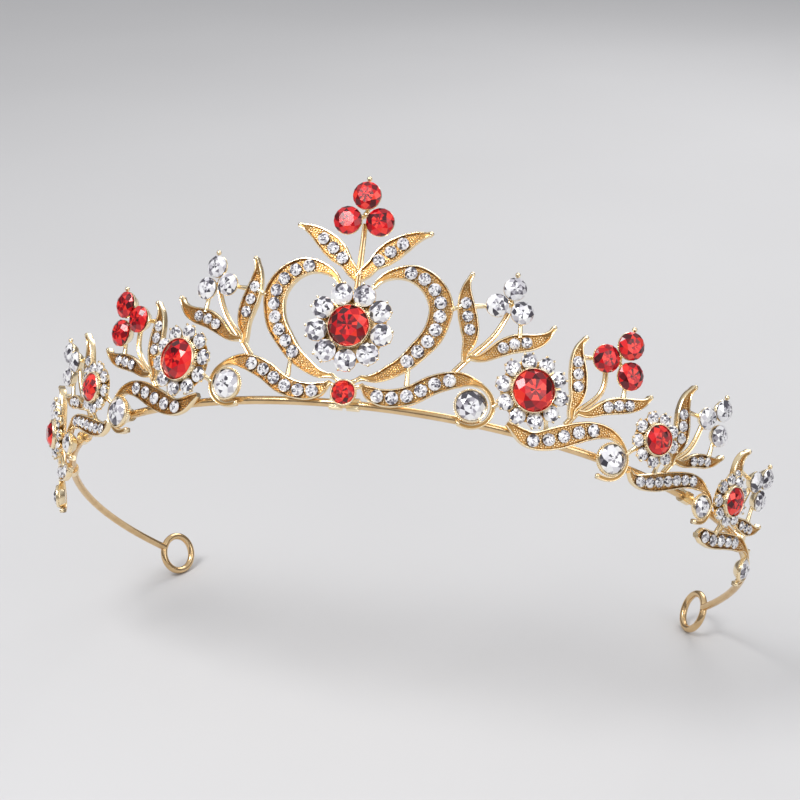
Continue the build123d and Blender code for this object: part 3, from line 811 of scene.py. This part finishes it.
def build_centre(stones):
    """The heart's arms, the crest, the heart flower and the centre drop."""
    build_ribbon("heart_arm_cast", [HEART_ARM], stones["heart_pave"], "heart_arm")
    leaf = rooted(CREST_LEAF, CREST_STEM, CREST_LEAF_FOOT)
    build_ribbon("crest_leaf_cast", [leaf], stones["crest_pave"], "crest_leaf")
    shape = flower(stones["heart_ruby"][0], stones["heart_petals"])
    shape.build("heart_flower_cast", CAST_GOLD, "cast_gold", ["heart_flower_setting"])
    shape = cluster(CREST_STEM, stones["crest_berries"])
    shape.build("crest_stem_cast", CAST_GOLD, "cast_gold", ["crest_stem"])
    shape = Shape()
    drop = stones["centre_drop_stone"][0]
    add_bezel(shape, drop, CUP_DEPTH * drop.size)
    for hand in (-1, 1):
        for start, end in DROP_BARS:
            add_bar(shape, (hand * start[0], start[1]), (hand * end[0], end[1]))
    shape.build("centre_drop_cast", CAST_GOLD, "cast_gold", ["centre_drop_setting"])


def build_sides(stones):
    """On each side, four scrolls with their leaves and sprigs, then three flowers and the cups."""
    leaf_stones, petals = right_half(stones["leaf_pave"]), right_half(stones["flower_petals"])
    berries = right_half(stones["clear_berries"] + stones["red_berries"])
    scroll_stones, rubies = right_half(stones["scroll_pave"]), right_half(stones["flower_rubies"])
    for k, stem in enumerate(STEMS):
        number = k + 1
        build_ribbon(f"scroll_{number}_cast", [SCROLLS[k]], scroll_stones, f"scroll_{number}",
                     HOOK_BARS[k])
        leaves = [rooted(leaf, stem) for leaf in (UPRIGHT_LEAVES[k], SIDE_LEAVES[k])]
        build_ribbon(f"leaves_{number}_cast", leaves, leaf_stones, f"leaves_{number}")
        own = nearest(berries, seat(*stem[-1]).translation, 3)
        build_pair(f"sprig_{number}_cast", cluster(stem, own, SPRIG_BARS[k]), f"sprig_{number}")
    for number, (s, count) in enumerate(FLOWERS, start=2):
        ruby = nearest(rubies, seat(s, FLOWER_RISE, FLOWER_OUT).translation, 1)[0]
        own = nearest(petals, ruby.place.translation, count)
        build_pair(f"flower_{number}_cast", flower(ruby, own), f"flower_{number}_setting")
    shape = Shape()
    for hook in stones["hook_stones"]:
        add_bezel(shape, hook, CUP_DEPTH * hook.size)
    shape.build("hook_cups_cast", CAST_GOLD, "cast_gold", ["hook_cups"])


def build_crown():
    """Every stone, the cast pieces around them, and new materials on the wire and the clasps."""
    stones = build_stones(CLEAR_NODES, CLEAR, "clear_glass")
    stones.update(build_stones(RUBY_NODES, RUBY, "ruby_glass"))
    build_centre(stones)
    build_sides(stones)
    for node, material in (("band_wire", WIRE_GOLD), ("wire_clasps", CAST_GOLD)):
        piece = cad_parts[node]
        piece.data.materials.clear()
        piece.data.materials.append(material)


# The studio

def soft_light(name, place, size, power):
    """A square softbox aimed at the crown."""
    lamp = bpy.data.lights.new(name, "AREA")
    lamp.size, lamp.energy = size, power
    holder = bpy.data.objects.new(name, lamp)
    holder.location = place
    holder.rotation_euler = (Vector(AIM) - Vector(place)).to_track_quat("-Z", "Y").to_euler()
    bpy.context.scene.collection.objects.link(holder)


def build_studio():
    """Pale floor, soft lights, pale surroundings and the camera."""
    low = cad_box[0][2]
    mesh = bpy.data.meshes.new("floor")
    signs = ((-1, -1), (1, -1), (1, 1), (-1, 1))
    corners = [(x * FLOOR_REACH, y * FLOOR_REACH, low) for x, y in signs]
    mesh.from_pydata(corners, [], [(0, 1, 2, 3)])
    floor = bpy.data.objects.new("floor", mesh)
    bpy.context.scene.collection.objects.link(floor)
    material, tree, shader = new_material("pale_floor")
    tree.links.new(ramp(tree, noise(tree, scale=3.0), [
        (0.3, (0.55, 0.545, 0.55)), (0.7, (0.60, 0.595, 0.60)),
    ]), shader.inputs["Base Color"])
    shader.inputs["Roughness"].default_value = 0.7
    mesh.materials.append(material)

    world = bpy.data.worlds.new("studio")
    world.use_nodes = True
    sky, surround = world.node_tree, world.node_tree.nodes["Background"]
    heading, split = sky.nodes.new("ShaderNodeTexCoord"), sky.nodes.new("ShaderNodeSeparateXYZ")
    height = sky.nodes.new("ShaderNodeMapRange")
    height.inputs["From Min"].default_value = -1.0
    sky.links.new(heading.outputs["Generated"], split.inputs["Vector"])
    sky.links.new(split.outputs["Z"], height.inputs["Value"])
    sky.links.new(ramp(sky, height.outputs["Result"], [
        (0.45, (0.46, 0.45, 0.45)), (0.52, (0.18, 0.17, 0.17)), (0.66, (0.22, 0.21, 0.21)),
        (0.80, (0.66, 0.67, 0.69)),
    ]), surround.inputs["Color"])
    surround.inputs["Strength"].default_value = 1.0
    bpy.context.scene.world = world
    bpy.context.scene.view_settings.view_transform = "Standard"
    soft_light("key", (-0.25, -0.35, 0.65), size=0.30, power=3.6)
    soft_light("fill", (0.62, -0.36, 0.42), size=0.60, power=1.6)
    soft_light("back", (0.1, 0.55, 0.45), size=0.40, power=1.5)

    camera = bpy.data.cameras.new("camera")
    camera.sensor_width, camera.lens = CAMERA_SENSOR, CAMERA_LENS
    holder = bpy.data.objects.new("camera", camera)
    holder.location = CAMERA_PLACE
    holder.rotation_euler = Vector(CAMERA_HEADING).to_track_quat("-Z", "Y").to_euler()
    bpy.context.scene.collection.objects.link(holder)
    bpy.context.scene.camera = holder


build_studio()
build_crown()
